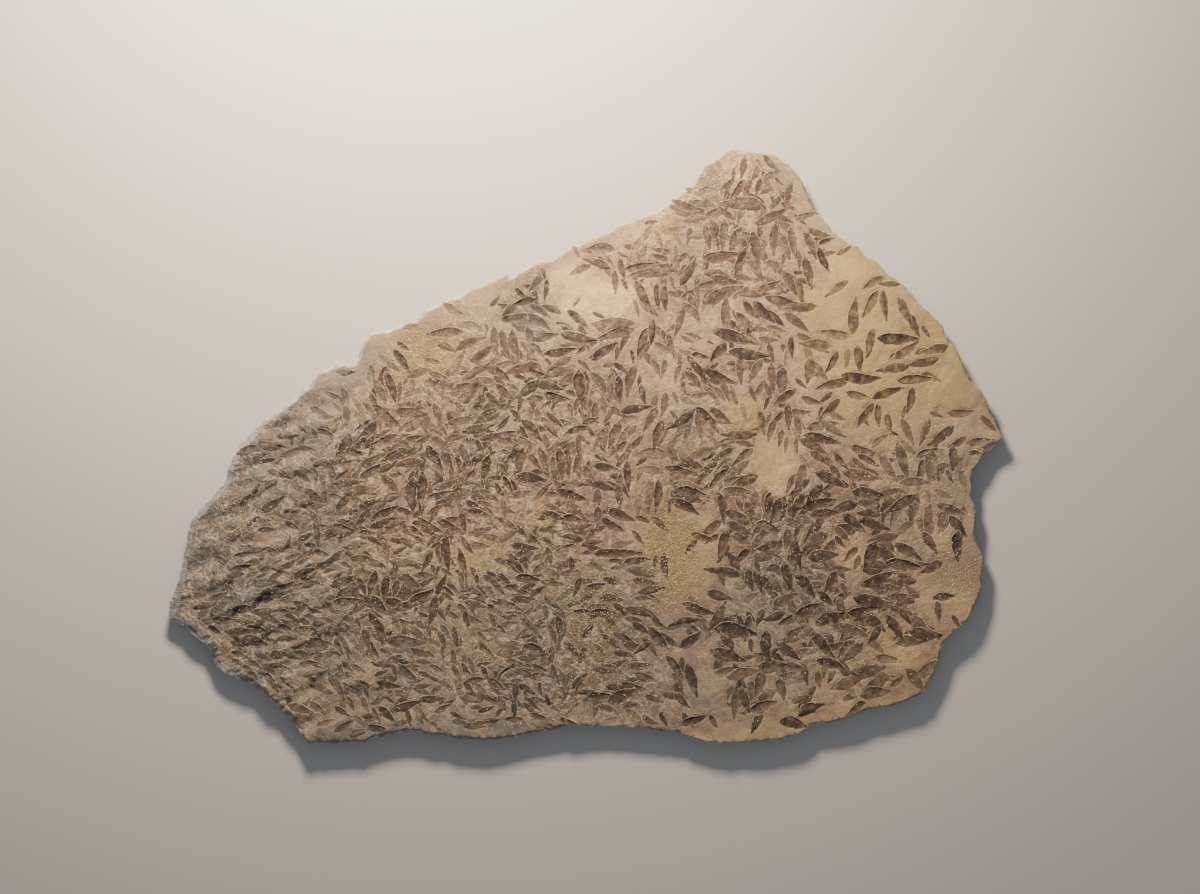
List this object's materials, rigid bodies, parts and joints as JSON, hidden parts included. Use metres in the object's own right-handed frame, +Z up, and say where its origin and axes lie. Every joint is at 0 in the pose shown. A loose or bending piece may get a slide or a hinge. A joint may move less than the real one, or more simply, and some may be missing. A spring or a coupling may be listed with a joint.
{
  "type": "fossil fish plate",
  "caption": "Flat irregular slab of split limestone with a shoal of small fossil fish on its bedding face, lying fish face up.",
  "frame": {"origin": "middle of the bounding box in plan, on the flat underside", "axes": "+Z up out of the fish face, +X towards the right-hand tip along the slab's length, +Y towards the peak of the outline"},
  "size_m": [1.002, 0.715, 0.0244],
  "materials": {
    "limestone": "dry matt split limestone"
  },
  "bodies": {
    "root": {"fossil_plate": "limestone"}
  },
  "joints": []
}
